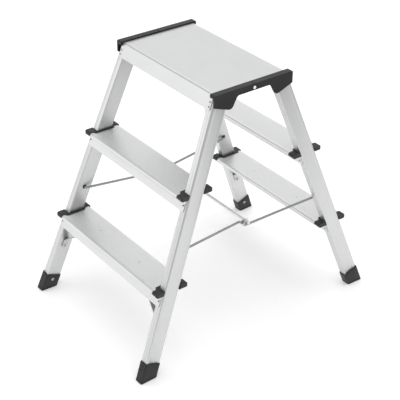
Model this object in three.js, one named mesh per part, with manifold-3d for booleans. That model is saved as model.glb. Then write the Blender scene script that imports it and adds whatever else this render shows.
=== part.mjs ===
// Double-sided folding step ladder: two hinged frames of extruded stiles sharing one top platform.
// Millimetres. +Z up, X across the ladder, -Y the platform's fixed (front) frame, floor at z = 0.
import * as THREE from 'three';
import { mergeVertices } from 'three/addons/utils/BufferGeometryUtils.js';
import Module from 'manifold-3d';

const wasm = await Module();
wasm.setup();

// ---------------------------------------------------------------- driving dimensions
const H = 690;                 // platform top above the floor
const STEPS = [230, 460];      // step tops
const KX = 0.087;              // splay of a stile: x per z
const KY = 0.387;              // lean of a stile: y per z
const XO_TOP = 192.8;          // outer face of a stile at platform height
const YF_TOP = 108.05;         // outward face of a stile at platform height
const SW = 22.3;               // stile width across the ladder
const SD = 42.4;               // stile depth square to its axis
const SWALL = 1.5;             // stile wall
const STILE_TOP = 684.6;
const STILE_BOTTOM = 5.0;
const GAP = 0.3;               // air left between pieces that touch

const PLATE = 2.0;             // step and platform sheet
const NOSE = 22;               // tread beyond the stile, outward side
const TAIL = 21.5;             // tread beyond the stile, inward side
const NOSE_H = 12;             // depth of the rolled tread edge
const FLANGE_H = 39.5;         // tread top to flange edge
const END_INSET = 6.4;         // flange end inside the stile's outer face

const PLAT_X = 184.5;          // platform half length
const PLAT_EAR = 189.0;        // front fascia half length below the hinge flange
const PLAT_LOW = 654;          // fascia lower edge

const PIN_Z = 684;             // fold axis height, y = 0
const HINGE_X = 202.1;         // outer face of the hinge plates
const HINGE_T = 4.2;
const HINGE_IN = 185.0;        // inner edge of the hinge top flange
const HINGE_Y = 119.5;
const HINGE_TOP = 694;
const FLANGE_T = 9.0;
const EYE_R = 7.6;
const PIN_R = 3.0;

const FOOT_WALL = 1.8;
const FOOT_TOP = 46.4;         // along the stile axis
const FOOT_RIVET_Z = 28.5;

const ROD_R = 3.3;
const ROD_Z = 300;             // stay pivots
const ROD_X = 198.2;
const BAR_X = 199.5;           // right-hand end of the crossbar
const LEFT_IN = 28;            // the left-hand junction sits this much further inboard
const BAR_Z = 303;
const BAR_R = 4.0;
const LUG_X = 182.2;           // crossbar lug, inner face

const BRACE_Z = 130.5;         // brace rivet on the stile
const BRACE_X = 90;            // brace rivet under the lower step
const BRACE_W = 16;
const BRACE_T = 2.0;

// ---------------------------------------------------------------- small helpers
const V = (x, y, z) => new THREE.Vector3(x, y, z);

function toM(geometry) {
  let g = geometry.clone();
  g.deleteAttribute('normal');
  g.deleteAttribute('uv');
  g = mergeVertices(g, 1e-4);
  const pos = g.attributes.position.array;
  const idx = g.index.array;
  const tri = [];
  for (let i = 0; i < idx.length; i += 3) {
    const [a, b, c] = [idx[i], idx[i + 1], idx[i + 2]];
    if (a !== b && b !== c && a !== c) tri.push(a, b, c);
  }
  return new wasm.Manifold(new wasm.Mesh({
    numProp: 3,
    vertProperties: new Float32Array(pos),
    triVerts: new Uint32Array(tri),
  }));
}

function toGeometry(m) {
  const mesh = m.getMesh();
  const n = mesh.numProp;
  const pos = new Float32Array((mesh.vertProperties.length / n) * 3);
  for (let i = 0; i < pos.length / 3; i++) {
    pos[3 * i] = mesh.vertProperties[n * i];
    pos[3 * i + 1] = mesh.vertProperties[n * i + 1];
    pos[3 * i + 2] = mesh.vertProperties[n * i + 2];
  }
  const g = new THREE.BufferGeometry();
  g.setAttribute('position', new THREE.BufferAttribute(pos, 3));
  g.setIndex(Array.from(mesh.triVerts));
  g.computeVertexNormals();
  return g;
}

function flipped(g, sx, sy) {
  const out = g.clone();
  out.applyMatrix4(new THREE.Matrix4().makeScale(sx, sy, 1));
  if (sx * sy < 0) {
    const i = out.index.array;
    for (let k = 0; k < i.length; k += 3) {
      const t = i[k + 1];
      i[k + 1] = i[k + 2];
      i[k + 2] = t;
    }
  }
  out.computeVertexNormals();
  return out;
}

const shapeOf = (pts) => new THREE.Shape(pts.map(([a, b]) => new THREE.Vector2(a, b)));

function prism(pts, d0, d1, holes = []) {
  const s = shapeOf(pts);
  for (const h of holes) s.holes.push(new THREE.Path(h.map(([a, b]) => new THREE.Vector2(a, b))));
  const g = new THREE.ExtrudeGeometry(s, { depth: d1 - d0, bevelEnabled: false, curveSegments: 6 });
  g.translate(0, 0, d0);
  return g;
}

// profile in (y, z) run along x
function prismYZ(pts, x0, x1, holes) {
  const g = prism(pts, x0, x1, holes);
  g.applyMatrix4(new THREE.Matrix4().makeBasis(V(0, 1, 0), V(0, 0, 1), V(1, 0, 0)));
  return toM(g);
}

// profile in (x, z) run along y
function prismXZ(pts, y0, y1) {
  const g = prism(pts, -y1, -y0);
  g.applyMatrix4(new THREE.Matrix4().makeBasis(V(1, 0, 0), V(0, 0, 1), V(0, -1, 0)));
  return toM(g);
}

// profile in (x, y) run along z
const prismXY = (pts, z0, z1) => toM(prism(pts, z0, z1));

function box(x0, x1, y0, y1, z0, z1) {
  const g = new THREE.BoxGeometry(x1 - x0, y1 - y0, z1 - z0);
  g.translate((x0 + x1) / 2, (y0 + y1) / 2, (z0 + z1) / 2);
  return toM(g);
}

function rod(p0, p1, r, n = 16) {
  const d = p1.clone().sub(p0);
  const g = new THREE.CylinderGeometry(r, r, d.length(), n, 1, false);
  g.applyQuaternion(new THREE.Quaternion().setFromUnitVectors(V(0, 1, 0), d.clone().normalize()));
  const c = p0.clone().add(p1).multiplyScalar(0.5);
  g.translate(c.x, c.y, c.z);
  return toM(g);
}

// domed head on the surface at p, head side along dir, shank the other way
function rivet(p, dir, headR, headH, shankR, shankL, n = 10) {
  const prof = [
    [0, headH], [headR * 0.62, headH * 0.82], [headR, 0],
    [shankR, 0], [shankR, -shankL], [0, -shankL],
  ].reverse().map(([r, y]) => new THREE.Vector2(r, y));
  const g = new THREE.LatheGeometry(prof, n);
  g.applyQuaternion(new THREE.Quaternion().setFromUnitVectors(V(0, 1, 0), dir.clone().normalize()));
  g.translate(p.x, p.y, p.z);
  return toM(g);
}

function roundRect(w, d, r, n = 3) {
  const pts = [];
  for (const [cx, cy, a0] of [[w / 2 - r, d / 2 - r, 0], [-w / 2 + r, d / 2 - r, 90], [-w / 2 + r, -d / 2 + r, 180], [w / 2 - r, -d / 2 + r, 270]]) {
    for (let i = 0; i <= n; i++) {
      const a = THREE.MathUtils.degToRad(a0 + (90 * i) / n);
      pts.push([cx + r * Math.cos(a), cy + r * Math.sin(a)]);
    }
  }
  return pts;
}

function arc(cx, cy, r, a0, a1, n) {
  const pts = [];
  for (let i = 0; i <= n; i++) {
    const a = THREE.MathUtils.degToRad(a0 + ((a1 - a0) * i) / n);
    pts.push([cx + r * Math.cos(a), cy + r * Math.sin(a)]);
  }
  return pts;
}

// sheet section: centre line offset half the thickness each way, mitred at the bends
function sheet(line, t) {
  const left = [];
  const right = [];
  for (let i = 0; i < line.length; i++) {
    const p = line[i];
    const dir = (a, b) => {
      const l = Math.hypot(b[0] - a[0], b[1] - a[1]);
      return [(b[0] - a[0]) / l, (b[1] - a[1]) / l];
    };
    const d0 = i > 0 ? dir(line[i - 1], p) : null;
    const d1 = i < line.length - 1 ? dir(p, line[i + 1]) : null;
    const a = d0 || d1;
    const b = d1 || d0;
    const n0 = [-a[1], a[0]];
    const n1 = [-b[1], b[0]];
    let m = [n0[0] + n1[0], n0[1] + n1[1]];
    const ml = Math.hypot(m[0], m[1]);
    m = [m[0] / ml, m[1] / ml];
    const k = (t / 2) / (m[0] * n0[0] + m[1] * n0[1]);
    left.push([p[0] + m[0] * k, p[1] + m[1] * k]);
    right.push([p[0] - m[0] * k, p[1] - m[1] * k]);
  }
  return { outline: [...left, ...right.reverse()], left };
}

const ccw = (pts) => (THREE.ShapeUtils.area(pts.map(([a, b]) => ({ x: a, y: b }))) < 0 ? pts.slice().reverse() : pts);

// ---------------------------------------------------------------- stile frame, right-hand front corner
const XO = (z) => XO_TOP + KX * (H - z);
const YF = (z) => -(YF_TOP + KY * (H - z));
const UP = V(-KX, KY, 1).normalize();
const OUT = V(0, -1, KY).normalize();            // square to the stile's outward face
const SIDE = UP.clone().cross(OUT).normalize();  // square to its outer side
const FACE_Y = Math.hypot(1, KY);                // y travelled per mm square to the face
const P0 = V(XO(0) - SW / 2 / SIDE.x, YF(0) + (SD / 2) * FACE_Y, 0);
const YB = (z) => YF(z) + SD * FACE_Y;           // inward face
const LOCAL = new THREE.Matrix4().makeBasis(SIDE, OUT.clone().negate(), UP).setPosition(P0);
const axisAt = (z) => P0.clone().addScaledVector(UP, z / UP.z);
const at = (u, v, w) => V(u, v, w).applyMatrix4(LOCAL);   // u outboard, v inward, w along the stile

function local(g) {
  g.applyMatrix4(LOCAL);
  return toM(g);
}

// point on the centre line of a stile face at height z ('out', 'back' or 'in'), moved off the face by off
function onFace(face, z, off = 0) {
  const d = face === 'out' ? OUT.clone() : face === 'back' ? OUT.clone().negate() : SIDE.clone().negate();
  const half = (face === 'in' ? SW : SD) / 2;
  const base = axisAt(z);
  const shift = (half * d.z) / UP.z;
  return base.addScaledVector(UP, -shift).addScaledVector(d, half + off);
}

const halfSpaceAbove = (z) => box(-400, 400, -600, 600, z, z + 400);
const halfSpaceBelow = (z) => box(-400, 400, -600, 600, z - 400, z);

// ---------------------------------------------------------------- stile
function stileOutline() {
  const w = SW / 2;
  const d = SD / 2;
  const r = 2.4;
  const c = (cx, cy, a0) => arc(cx, cy, r, a0, a0 + 90, 3);
  return [
    ...c(w - r, d - r, 0), ...c(-w + r, d - r, 90), ...c(-w + r, -d + r, 180),
    // groove down the outward face
    [0.2, -d], [0.6, -d + 0.55], [1.6, -d + 0.55], [2.0, -d],
    ...c(w - r, -d + r, 270),
    // shallow panel down the outer side between two beads
    [w, -d + 6.2], [w - 0.8, -d + 9.0], [w - 0.8, d - 9.0], [w, d - 6.2],
  ];
}

function stile(isFront) {
  const hollow = roundRect(SW - 2 * SWALL - 0.9, SD - 2 * SWALL, 1.6, 2).map(([a, b]) => [a - 0.45, b]);
  let m = local(prism(stileOutline(), -40, 800, [hollow.slice().reverse()]));
  m = m.subtract(halfSpaceAbove(STILE_TOP)).subtract(halfSpaceBelow(STILE_BOTTOM));
  for (const z of STEPS) {
    m = m.subtract(drill(onFace('out', z - 26), OUT, 2.55, 5));
    m = m.subtract(drill(onFace('back', z - 26), OUT.clone().negate(), 2.55, 5));
  }
  if (isFront) for (const z of PLAT_RIVETS) m = m.subtract(drill(onFace('out', z), OUT, 2.55, 5));
  m = m.subtract(drill(onFace('in', FOOT_RIVET_Z), SIDE.clone().negate(), 2.35, 5));
  m = m.subtract(drill(onFace('in', BRACE_Z), SIDE.clone().negate(), 2.35, 5));
  const piv = onFace('in', ROD_Z);
  m = m.subtract(rod(V(piv.x - 4, piv.y, ROD_Z), V(piv.x + 6, piv.y, ROD_Z), ROD_R + 0.35, 14));
  return m;
}

const PLAT_RIVETS = [671.5, 660.5];

function drill(p, dir, r, depth) {
  return rod(p.clone().addScaledVector(dir, 6), p.clone().addScaledVector(dir, -depth), r, 10);
}

// ---------------------------------------------------------------- step
function treadLine(zt) {
  const yo = YF(zt) - NOSE + PLATE / 2;
  const yi = YB(zt) + TAIL - PLATE / 2;
  const off = (GAP + PLATE / 2) * FACE_Y;
  const zc = zt - PLATE / 2;
  const zb = zt - NOSE_H;
  return [
    [YF(zt - FLANGE_H) - off, zt - FLANGE_H],
    [YF(zb) - off, zb],
    [yo + 3.4, zb],
    [yo + 1.0, zb + 1.0],
    [yo, zb + 3.2],
    [yo, zc - 4.0],
    [yo + 1.2, zc - 1.4],
    [yo + 4.2, zc],
    [yi - 4.2, zc],
    [yi - 1.2, zc - 1.4],
    [yi, zc - 4.0],
    [yi, zb + 3.2],
    [yi - 1.0, zb + 1.0],
    [yi - 3.4, zb],
    [YB(zb) + off, zb],
    [YB(zt - FLANGE_H) + off, zt - FLANGE_H],
  ];
}

const stepEnd = (zt) => XO(zt - 26) - END_INSET;

function step(zt) {
  const xe = stepEnd(zt);
  const line = treadLine(zt);
  const { outline } = sheet(line, PLATE);
  let m = prismYZ(ccw(outline), -xe, xe);
  // long anti-slip ribs
  const y0 = line[7][0] + 3;
  const y1 = line[8][0] - 1;
  const n = 9;
  for (let i = 0; i < n; i++) {
    const y = y0 + ((y1 - y0) * i) / (n - 1);
    m = m.subtract(prismYZ(ccw([[y - 1.3, zt + 1], [y - 0.9, zt - 0.5], [y + 0.9, zt - 0.5], [y + 1.3, zt + 1]]), -xe - 1, xe + 1));
  }
  for (const s of [1, -1]) {
    const notch = flippedM(local(prism([[-SW / 2 - 0.4, -SD / 2 - GAP + 0.01], [60, -SD / 2 - GAP + 0.01], [60, SD / 2 + GAP - 0.01], [-SW / 2 - 0.4, SD / 2 + GAP - 0.01]], (zt - 22) / UP.z, (zt + 25) / UP.z)), s);
    m = m.subtract(notch);
    m = m.subtract(flippedM(drill(onFace('out', zt - 26), OUT, 2.55, 8), s));
    // inward flange fixings, headed on the flange itself
    const p = onFace('back', zt - 26, GAP + PLATE);
    const back = OUT.clone().negate();
    m = m.add(flippedM(rivet(p.clone().addScaledVector(back, -0.1), back, 4.0, 1.9, 2.2, 3.6, 10), s));
    if (zt === STEPS[0]) {
      const y = axisAt(zt).y;
      m = m.subtract(rod(V(s * BRACE_X, y, zt - 8), V(s * BRACE_X, y, zt + 3), 2.35, 10));
    }
  }
  return m;
}

const flippedM = (m, s, sy = 1) => (s > 0 && sy > 0 ? m : toM(flipped(toGeometry(m), s, sy)));

// ---------------------------------------------------------------- moulded clip closing a step end round its stile
function clip(zt) {
  const xe = stepEnd(zt);
  const xi = onFace('in', zt + 3).x;        // inner side of the stile
  const x0 = xi + 2.6;                      // inboard edge of the ears
  const x1 = XO(zt) + 1.6;
  const top = zt + 2.2;
  const bot = zt - 8.6;
  const yo = YF(zt) - NOSE;
  const yi = YB(zt) + TAIL;
  const cl = 0.35;
  const ear = (ya, sgn, faceY) => {
    // ya: tread edge; sgn: -1 outward side, +1 inward side; faceY(z): stile face
    const f = (z, d) => faceY(z) + sgn * d;
    const outer = ccw([
      [f(top, 0.45), top], [ya - sgn * 2.6, top], [ya + sgn * 0.9, top - 1.3], [ya + sgn * 2.5, top - 4.2],
      [ya + sgn * 2.5, bot + 3.4], [ya + sgn * 1.4, bot + 1.0], [ya - sgn * 1.2, bot],
      [f(bot, 0.45), bot],
    ]);
    const pocket = ccw([
      [f(zt + cl, -3), zt + cl], [ya - sgn * 3.4, zt + cl], [ya + sgn * cl, zt - 2.6], [ya + sgn * cl, bot - 2],
      [f(bot - 2, -3), bot - 2],
    ]);
    let e = prismYZ(outer, x0, x1);
    e = e.subtract(prismYZ(pocket, x0 - 3, xe + 0.5));
    // the lip over the tread edge is shorter inboard of the end wall
    const lip = [ya - sgn * 12, ya + sgn * 6].sort((p, q) => p - q);
    e = e.subtract(box(x0 - 3, xe - 3, lip[0], lip[1], bot - 3, zt - 6.2));
    // corner rounding in plan at the outboard end
    const cx = x1 - 6;
    const cy = ya + sgn * (2.5 - 6);
    const cornerPts = [[cx, cy], [x1 + 2, cy], [x1 + 2, cy + sgn * 9], [cx, cy + sgn * 9]];
    const round = prismXY(ccw(cornerPts), bot - 10, top + 10).subtract(rod(V(cx, cy, bot - 12), V(cx, cy, top + 12), 6, 20));
    return e.subtract(round);
  };
  let m = ear(yo, -1, YF).add(ear(yi, 1, YB));
  // bar lying on the tread along the stile's inner side, splayed into the ears
  const xb = xi - 6.0;
  const ya = YF(zt) - 8;
  const yb = YB(zt) + 3;
  m = m.add(prismXY(ccw([
    [xb + 1.2, ya], [x0 + 0.4, ya - 4.5], [x0 + 3, ya - 4.5], [x0 + 3, yb + 4.5], [x0 + 0.4, yb + 4.5], [xb + 1.2, yb], [xb, yb - 1.2], [xb, ya + 1.2],
  ]), zt + cl, zt + 2.2));
  // clear the stile and its own slope
  const keep = local(prism(roundRect(SW + 0.7, SD + 0.7, 2.4, 3), (zt - 60) / UP.z, (zt + 60) / UP.z));
  m = m.subtract(keep);
  // nothing of the moulding stays outboard between the ears
  m = m.subtract(local(prism([[0, -SD / 2 - 0.3], [60, -SD / 2 - 0.3], [60, SD / 2 + 0.3], [0, SD / 2 + 0.3]], (zt - 60) / UP.z, (zt + 60) / UP.z)));
  return m;
}

// ---------------------------------------------------------------- foot
function foot() {
  const o = FOOT_WALL + GAP;
  let m = local(prism(roundRect(SW + 2 * o, SD + 2 * o, 4.2, 4), -30, FOOT_TOP));
  m = m.subtract(halfSpaceBelow(0));
  const cavity = local(prism(roundRect(SW + 2 * GAP, SD + 2 * GAP, 2.6, 3), -30, FOOT_TOP + 20)).subtract(halfSpaceBelow(STILE_BOTTOM - GAP));
  m = m.subtract(cavity);
  return m.subtract(drill(onFace('in', FOOT_RIVET_Z, o), SIDE.clone().negate(), 2.35, 6));
}

// ---------------------------------------------------------------- platform
function platform() {
  const off = (GAP + PLATE / 2) * FACE_Y;
  const zc = H - PLATE / 2;
  const yt = -(YF(zc) - off);
  const side = (s) => [
    [s * (-YF(PLAT_LOW) + off), PLAT_LOW],
    [s * (-YF(zc - 4.2) + off), zc - 4.2],
    [s * (yt - 0.5), zc - 1.4],
    [s * (yt - 3.4), zc],
  ];
  const line = [...side(-1), ...side(1).reverse()];
  const { outline } = sheet(line, PLATE);
  let m = prismYZ(ccw(outline), -PLAT_X, PLAT_X);
  const n = 19;
  for (let i = 0; i < n; i++) {
    const y = -98 + (196 * i) / (n - 1);
    m = m.subtract(prismYZ(ccw([[y - 1.3, H + 1], [y - 0.9, H - 0.5], [y + 0.9, H - 0.5], [y + 1.3, H + 1]]), -PLAT_X - 1, PLAT_X + 1));
  }
  // front fascia runs on over the stiles below the hinge flanges
  const fl = sheet([[YF(PLAT_LOW) - off, PLAT_LOW], [YF(681) - off, 681]], PLATE).outline;
  m = m.add(prismYZ(ccw(fl), -PLAT_EAR, PLAT_EAR));
  // stiffening webs under the top
  for (const y of [-52, 0, 52]) m = m.add(box(-PLAT_X + 22, PLAT_X - 22, y - 1, y + 1, 672, H - 1.5));
  for (const s of [1, -1]) for (const z of PLAT_RIVETS) m = m.subtract(flippedM(drill(onFace('out', z), OUT, 2.55, 8), s));
  return m;
}

// ---------------------------------------------------------------- hinge halves
function spigot() {
  const w1 = 684.9 / UP.z;
  let m = local(prism([[2.5, -14], [8.4, -14], [8.4, 14], [2.5, 14]], w1 - 46, w1 + 4));
  return m.subtract(halfSpaceAbove(688)).subtract(box(-400, HINGE_IN + 0.01, -600, 600, STILE_TOP - 0.05, 720));
}

function hingeHalf(isFront) {
  // drawn on the front side, then turned to the rear
  const lobe = [
    [-0.75, HINGE_TOP], [-HINGE_Y + 3, HINGE_TOP], [-HINGE_Y + 0.9, HINGE_TOP - 0.9], [-HINGE_Y, HINGE_TOP - 3],
    [-HINGE_Y, 664.5], [-HINGE_Y + 1.2, 662.6],
    [-79, 648.2], [-73, 646.9], [-68, 647.8], [-64.4, 650.6], [-61.6, 655],
    [-53, 671.2], [-50, 674.8], [-45.5, 676.5], [-0.75, 676.5],
  ];
  const x0 = HINGE_X - HINGE_T;
  let m = prismYZ(ccw(lobe), x0, HINGE_X);
  m = m.add(prismYZ(ccw([[-0.75, HINGE_TOP], [-HINGE_Y + 3, HINGE_TOP], [-HINGE_Y + 0.9, HINGE_TOP - 0.9], [-HINGE_Y, HINGE_TOP - 3], [-HINGE_Y, HINGE_TOP - FLANGE_T], [-0.75, HINGE_TOP - FLANGE_T]]), HINGE_IN, HINGE_X));
  // solid boss behind the plate beside the fold axis
  m = m.add(box(190.4, x0 + 1, -24, -0.75, 677.5, HINGE_TOP - 2));
  m = m.add(spigot());
  if (!isFront) m = flippedM(m, 1, -1);
  const c = (xa, xb, r) => rod(V(xa, 0, PIN_Z), V(xb, 0, PIN_Z), r, 28);
  const split = x0 - 0.25;
  if (isFront) {
    m = m.subtract(c(HINGE_IN - 1, split, EYE_R + 0.6)).add(c(x0, HINGE_X, EYE_R));
  } else {
    m = m.subtract(c(x0 - 0.5, HINGE_X + 2, EYE_R + 0.6)).add(c(190.4, x0 - 0.5, EYE_R));
  }
  return m.subtract(c(HINGE_IN - 2, HINGE_X + 3, PIN_R + 0.12));
}

function hingePin() {
  const prof = [[0, -1.2], [PIN_R, -1.2], [PIN_R, 15.2], [PIN_R + 1.6, 15.2], [PIN_R + 1.3, 16.2], [0, 16.5]].map(([r, y]) => new THREE.Vector2(r, y));
  const g = new THREE.LatheGeometry(prof, 16);
  g.applyQuaternion(new THREE.Quaternion().setFromUnitVectors(V(0, 1, 0), V(1, 0, 0)));
  g.translate(187.2, 0, PIN_Z);
  return toM(g);
}

// ---------------------------------------------------------------- brace under the lower step
function brace() {
  const xin = (z) => onFace('in', z).x - GAP - 0.35 - BRACE_T / 2;
  const zs = STEPS[0] - PLATE - GAP - BRACE_T / 2;
  const line = [[xin(BRACE_Z), BRACE_Z], [xin(146), 146], [xin(150) - 2.2, 150], [102, zs - 5], [97, zs - 1.4], [92.5, zs], [80, zs]];
  const { outline } = sheet(line, BRACE_T);
  const g = prism(ccw(outline), -BRACE_W / 2, BRACE_W / 2);
  g.applyMatrix4(new THREE.Matrix4().makeBasis(V(1, 0, 0), V(0, 0, 1), V(0, -1, 0)));
  const lean = new THREE.Matrix4().set(1, 0, 0, 0, 0, 1, KY, P0.y, 0, 0, 1, 0, 0, 0, 0, 1);
  g.applyMatrix4(lean);
  let m = toM(g);
  const p = V(xin(BRACE_Z), axisAt(BRACE_Z).y, BRACE_Z);
  const n = V(1, 0, KX).normalize();
  m = m.add(rod(p.clone().addScaledVector(n, -BRACE_T / 2), p.clone().addScaledVector(n, BRACE_T / 2), BRACE_W / 2 * 1.03, 24));
  m = m.subtract(rod(onFace('in', BRACE_Z).addScaledVector(SIDE, 4), onFace('in', BRACE_Z).addScaledVector(SIDE, -8), 2.35, 10));
  const y = axisAt(STEPS[0]).y;
  return m.subtract(rod(V(BRACE_X, y, zs - 6), V(BRACE_X, y, zs + 6), 2.35, 10));
}

// ---------------------------------------------------------------- stays
// straight runs joined by rounded bends
function bent(pts, r, bend, n) {
  const path = [];
  let prev = pts[0];
  for (let i = 1; i < pts.length - 1; i++) {
    const a = pts[i].clone().sub(prev).normalize();
    const b = pts[i + 1].clone().sub(pts[i]).normalize();
    const e0 = pts[i].clone().addScaledVector(a, -bend);
    const e1 = pts[i].clone().addScaledVector(b, bend);
    path.push(prev.clone());
    for (let k = 0; k <= n; k++) {
      const t = k / n;
      path.push(new THREE.QuadraticBezierCurve3(e0, pts[i], e1).getPoint(t));
    }
    prev = e1;
  }
  path.push(pts[pts.length - 1].clone());
  return tube(path, r);
}

// round bar through a list of points, section kept square to the path
function tube(path, r, n = 12) {
  const pts = path.filter((p, i) => i === 0 || p.distanceTo(path[i - 1]) > 1e-3);
  const T = (i) => {
    const a = i > 0 ? pts[i].clone().sub(pts[i - 1]).normalize() : null;
    const b = i < pts.length - 1 ? pts[i + 1].clone().sub(pts[i]).normalize() : null;
    return (a && b ? a.add(b) : a || b).normalize();
  };
  let nrm = Math.abs(T(0).z) < 0.9 ? V(0, 0, 1) : V(0, 1, 0);
  const pos = [];
  const idx = [];
  for (let i = 0; i < pts.length; i++) {
    const t = T(i);
    nrm = nrm.sub(t.clone().multiplyScalar(nrm.dot(t))).normalize();
    const b = t.clone().cross(nrm);
    for (let k = 0; k < n; k++) {
      const a = (2 * Math.PI * k) / n;
      const p = pts[i].clone().addScaledVector(nrm, r * Math.cos(a)).addScaledVector(b, r * Math.sin(a));
      pos.push(p.x, p.y, p.z);
    }
  }
  for (let i = 0; i < pts.length - 1; i++) {
    for (let k = 0; k < n; k++) {
      const a = i * n + k;
      const b = i * n + ((k + 1) % n);
      idx.push(a, b, b + n, a, b + n, a + n);
    }
  }
  const e = (pts.length - 1) * n;
  for (let k = 1; k < n - 1; k++) {
    idx.push(0, k + 1, k);
    idx.push(e, e + k, e + k + 1);
  }
  const g = new THREE.BufferGeometry();
  g.setAttribute('position', new THREE.BufferAttribute(new Float32Array(pos), 3));
  g.setIndex(idx);
  return toM(g);
}

const PIV = onFace('in', ROD_Z);
const PIV_Y = PIV.y;

function frontRod(dx) {
  return bent([V(PIV.x + 4.6, PIV_Y, ROD_Z), V(ROD_X, PIV_Y, ROD_Z), V(176.6 - dx, -11, ROD_Z), V(187 - dx, -11, ROD_Z)], ROD_R, 4.2, 4);
}

// the rear stay runs below the crossbar and turns up in front of it
function rearRod(dx) {
  const zl = BAR_Z - BAR_R - 0.8 - ROD_R;
  const yh = -(BAR_R + 0.8 + ROD_R);
  return bent([V(PIV.x + 4.6, -PIV_Y, ROD_Z), V(ROD_X, -PIV_Y, ROD_Z), V(191.5 - dx, yh, zl), V(191.5 - dx, yh, BAR_Z + 3)], ROD_R, 4.0, 4);
}

function crossbar() {
  let m = rod(V(-BAR_X + LEFT_IN, 0, BAR_Z), V(BAR_X, 0, BAR_Z), BAR_R, 16);
  for (const s of [1, -1]) {
    const xl = s > 0 ? LUG_X : LUG_X - LEFT_IN;
    const xa = s > 0 ? xl : -xl - 2.2;
    m = m.add(prismYZ(ccw([[-16.5, 303.5], [-16.5, 297], [-10, 290.5], [-1, 288], [5.5, 291], [8.5, 297], [8.5, 305], [4, 308.8], [-3, 308.8]]), xa, xa + 2.2));
    m = m.subtract(rod(V(s * (xl - 3), 0, 294.2), V(s * (xl + 5), 0, 294.2), 2.4, 12));
    m = m.subtract(rod(V(s * (xl - 3), -11, ROD_Z), V(s * (xl + 5), -11, ROD_Z), ROD_R + 0.4, 14));
  }
  return m;
}

// ---------------------------------------------------------------- assembly
const ALU = { color: 0xd8dadb, roughness: 0.42, metalness: 0.85 };
const ALU2 = { color: 0xcfd1d2, roughness: 0.36, metalness: 0.85 };
const BLACK = { color: 0x1c1c1d, roughness: 0.6, metalness: 0.0 };
const STEEL = { color: 0x9c9da0, roughness: 0.35, metalness: 0.95 };
const RIVET = { color: 0xbdbfc1, roughness: 0.35, metalness: 0.95 };

const root = new THREE.Group();
root.name = 'step_ladder';
const mats = new Map();
function put(name, geometry, look) {
  if (!mats.has(look)) mats.set(look, new THREE.MeshStandardMaterial(look));
  const mesh = new THREE.Mesh(geometry, mats.get(look));
  mesh.name = name;
  root.add(mesh);
}

const SIDES = [['right', 1], ['left', -1]];
const FRAMES = [['front', 1], ['rear', -1]];

const stileFront = toGeometry(stile(true));
const stileRear = toGeometry(stile(false));
const footG = toGeometry(foot());
const braceG = toGeometry(brace());
const clipG = STEPS.map((z) => toGeometry(clip(z)));
const stepG = STEPS.map((z) => toGeometry(step(z)));
const SHANK = 3.6;
const stepRivetG = STEPS.map((z) => toGeometry(rivet(onFace('out', z - 26, GAP + PLATE + 0.1), OUT, 4.0, 1.9, 2.2, GAP + PLATE + SHANK)));
const platRivetG = PLAT_RIVETS.map((z) => toGeometry(rivet(onFace('out', z, GAP + PLATE + 0.1), OUT, 3.6, 1.7, 2.2, GAP + PLATE + SHANK)));
const inward = SIDE.clone().negate();
const footRivetG = toGeometry(rivet(onFace('in', FOOT_RIVET_Z, FOOT_WALL + GAP + 0.12), inward, 4.2, 1.8, 2.0, FOOT_WALL + GAP + 3.6));
const braceRivetG = toGeometry(rivet(onFace('in', BRACE_Z, GAP + 0.35 + BRACE_T + 0.45), inward, 4.4, 1.8, 2.0, BRACE_T + GAP + 4.0));
const braceStepRivetG = toGeometry(rivet(V(BRACE_X, axisAt(STEPS[0]).y, STEPS[0] + 0.1), V(0, 0, 1), 3.8, 1.3, 2.0, 7.0));
const frontRodG = [toGeometry(frontRod(0)), toGeometry(frontRod(LEFT_IN))];
const rearRodG = [toGeometry(rearRod(0)), toGeometry(rearRod(LEFT_IN))];
const pinG = toGeometry(hingePin());
const hingeFrontG = toGeometry(hingeHalf(true));
const hingeRearG = toGeometry(hingeHalf(false));
const platG = toGeometry(platform());

put('platform', platG, ALU);
for (const [frame, sy] of FRAMES) {
  STEPS.forEach((z, i) => {
    const level = i ? 'upper' : 'lower';
    put(`${frame}_step_${level}`, flipped(stepG[i], 1, sy), ALU);
  });
  for (const [side, sx] of SIDES) {
    put(`${frame}_stile_${side}`, flipped(sy > 0 ? stileFront : stileRear, sx, sy), ALU2);
    put(`${frame}_foot_${side}`, flipped(footG, sx, sy), BLACK);
    put(`${frame}_foot_rivet_${side}`, flipped(footRivetG, sx, sy), RIVET);
    put(`${frame}_brace_${side}`, flipped(braceG, sx, sy), ALU2);
    put(`${frame}_brace_rivet_${side}`, flipped(braceRivetG, sx, sy), RIVET);
    put(`${frame}_brace_step_rivet_${side}`, flipped(braceStepRivetG, sx, sy), RIVET);
    STEPS.forEach((z, i) => {
      const level = i ? 'upper' : 'lower';
      put(`${frame}_clip_${level}_${side}`, flipped(clipG[i], sx, sy), BLACK);
      put(`${frame}_step_rivet_${level}_${side}`, flipped(stepRivetG[i], sx, sy), RIVET);
    });
  }
}
for (const [side, sx] of SIDES) {
  platRivetG.forEach((g, i) => put(`platform_rivet_${i ? 'low' : 'high'}_${side}`, flipped(g, sx, 1), RIVET));
  put(`front_hinge_${side}`, flipped(hingeFrontG, sx, 1), BLACK);
  put(`rear_hinge_${side}`, flipped(hingeRearG, sx, 1), BLACK);
  put(`hinge_pin_${side}`, flipped(pinG, sx, 1), STEEL);
  put(`front_rod_${side}`, flipped(frontRodG[sx > 0 ? 0 : 1], sx, 1), STEEL);
  put(`rear_rod_${side}`, flipped(rearRodG[sx > 0 ? 0 : 1], sx, 1), STEEL);
}
put('crossbar', toGeometry(crossbar()), STEEL);

export default root;
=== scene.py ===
# Looks for the double-sided step ladder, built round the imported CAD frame.
# Lengths in this file are millimetres until a mesh is made; MM turns them into metres.
import math

import bmesh
import bpy
from mathutils import Matrix, Vector


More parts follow.
